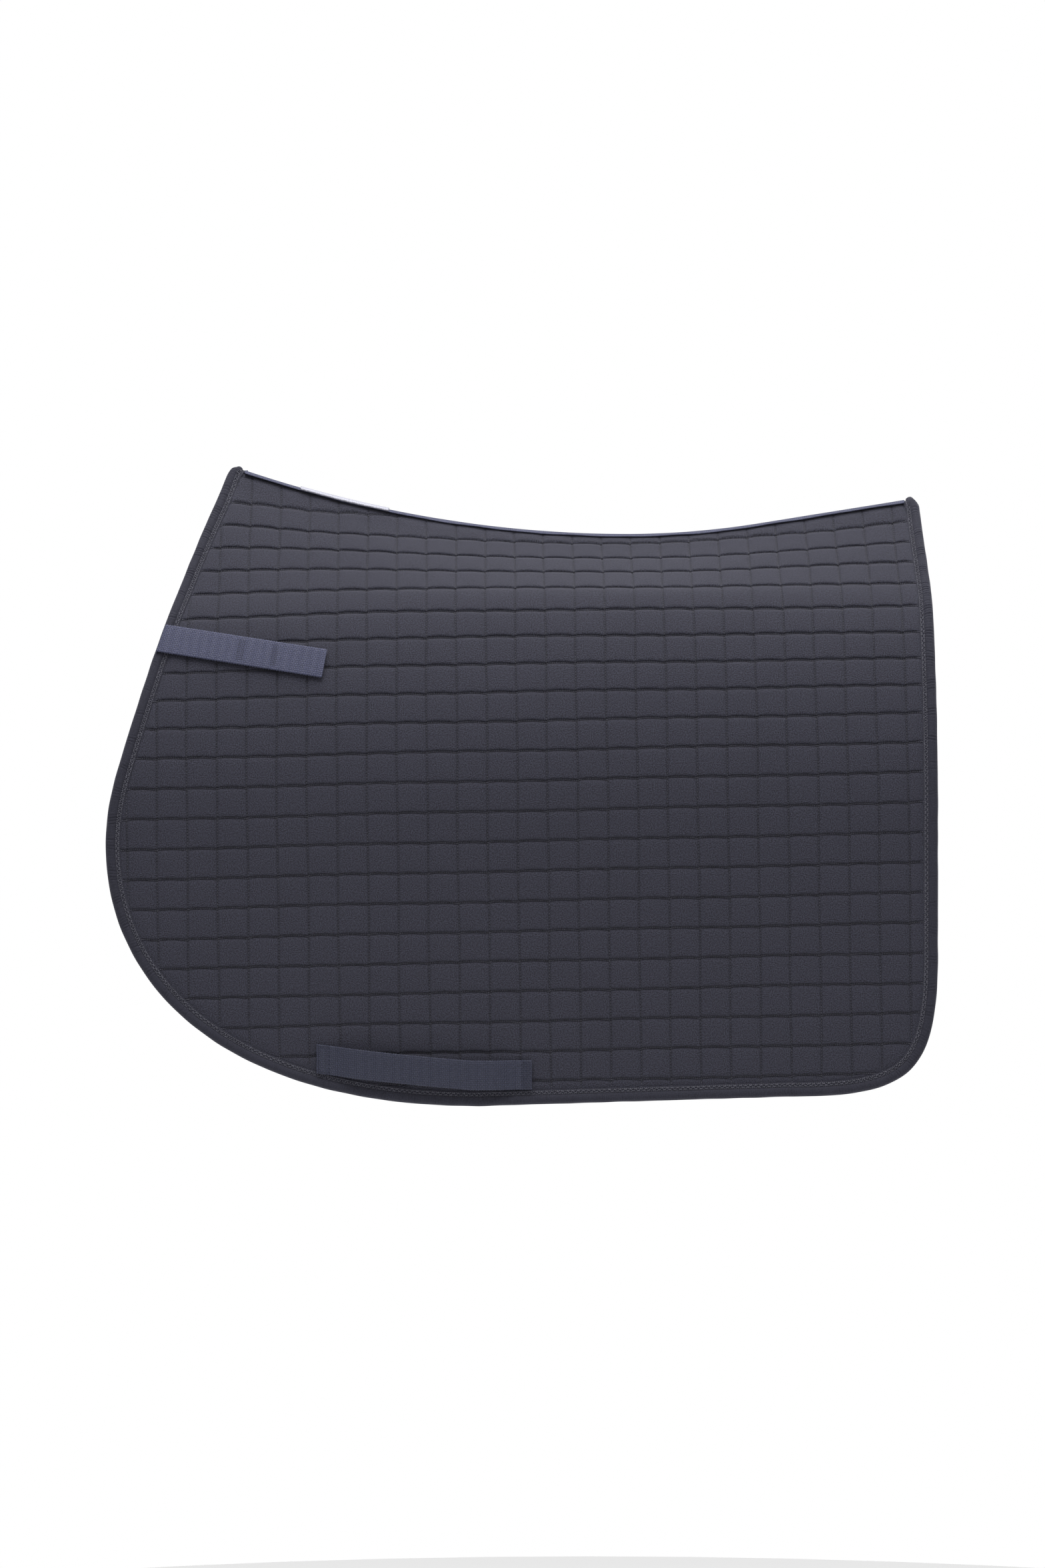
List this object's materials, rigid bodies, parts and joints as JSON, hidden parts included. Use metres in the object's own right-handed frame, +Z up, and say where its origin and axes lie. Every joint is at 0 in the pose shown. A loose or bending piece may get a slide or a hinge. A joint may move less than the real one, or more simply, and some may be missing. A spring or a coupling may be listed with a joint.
{
  "type": "saddle pad",
  "caption": "Quilted saddle pad with curved spine, forward-cut flaps, bound edges, a girth loop and a hook-and-loop billet strap on each side.",
  "frame": {"origin": "underside of the spine seam at its lowest point, where the pad lies on the horse's back", "axes": "+X towards the tail along the spine, +Y to the horse's right side, +Z up"},
  "size_m": [0.7002, 0.2982, 0.5498],
  "materials": {
    "cover_fabric": "quilted cotton twill, matt with a faint sheen",
    "foam_fill": "open-cell foam, matt",
    "lining_fabric": "quilted cotton twill, matt",
    "binding_tape": "ribbed cotton binding tape, matt",
    "webbing": "woven polypropylene webbing, satin",
    "seam_tape": "cotton seam tape, matt",
    "thread": "sewing thread bar tack, satin",
    "hook_tape": "hook tape, matt",
    "loop_tape": "loop tape, matt",
    "label": "woven satin label, blank"
  },
  "bodies": {
    "back": {"binding_arch_front": "binding_tape", "binding_arch_rear": "binding_tape", "spine_tape": "webbing", "spine_seam_tape": "seam_tape", "withers_label": "label", "cover_slope_left": "cover_fabric", "foam_slope_left": "foam_fill", "lining_slope_left": "lining_fabric", "cover_slope_right": "cover_fabric", "foam_slope_right": "foam_fill", "lining_slope_right": "lining_fabric"},
    "flap_left": {"cover_flap_left": "cover_fabric", "foam_flap_left": "foam_fill", "lining_flap_left": "lining_fabric", "binding_flap_left": "binding_tape", "girth_loop_left": "webbing", "girth_tack_front_left": "thread", "girth_tack_rear_left": "thread", "strap_anchor_left": "webbing", "strap_anchor_tack_left": "thread", "strap_loop_patch_left": "loop_tape"},
    "strap_left": {"billet_strap_left": "webbing", "strap_hook_patch_left": "hook_tape"},
    "flap_right": {"cover_flap_right": "cover_fabric", "foam_flap_right": "foam_fill", "lining_flap_right": "lining_fabric", "binding_flap_right": "binding_tape", "girth_loop_right": "webbing", "girth_tack_front_right": "thread", "girth_tack_rear_right": "thread", "strap_anchor_right": "webbing", "strap_anchor_tack_right": "thread", "strap_loop_patch_right": "loop_tape"},
    "strap_right": {"billet_strap_right": "webbing", "strap_hook_patch_right": "hook_tape"}
  },
  "joints": [
    {"name": "fold_left", "type": "hinge", "parent": "back", "child": "flap_left", "pos_m": [0, -0.078, -0.04347], "axis": [-1, 0, 0], "range_deg": [-16, 30], "stiffness_Nm_per_rad": 2, "springref_deg": 4.58},
    {"name": "fold_right", "type": "hinge", "parent": "back", "child": "flap_right", "pos_m": [0, 0.078, -0.04347], "axis": [1, 0, 0], "range_deg": [-16, 30], "stiffness_Nm_per_rad": 2, "springref_deg": 4.58},
    {"name": "strap_lift_left", "type": "hinge", "parent": "flap_left", "child": "strap_left", "pos_m": [-0.40059, -0.10242, -0.08369], "axis": [-0.2759, -0.3878, -0.8795], "range_deg": [0, 135]},
    {"name": "strap_lift_right", "type": "hinge", "parent": "flap_right", "child": "strap_right", "pos_m": [-0.40059, 0.10242, -0.08369], "axis": [0.2759, -0.3878, 0.8795], "range_deg": [0, 135]}
  ]
}
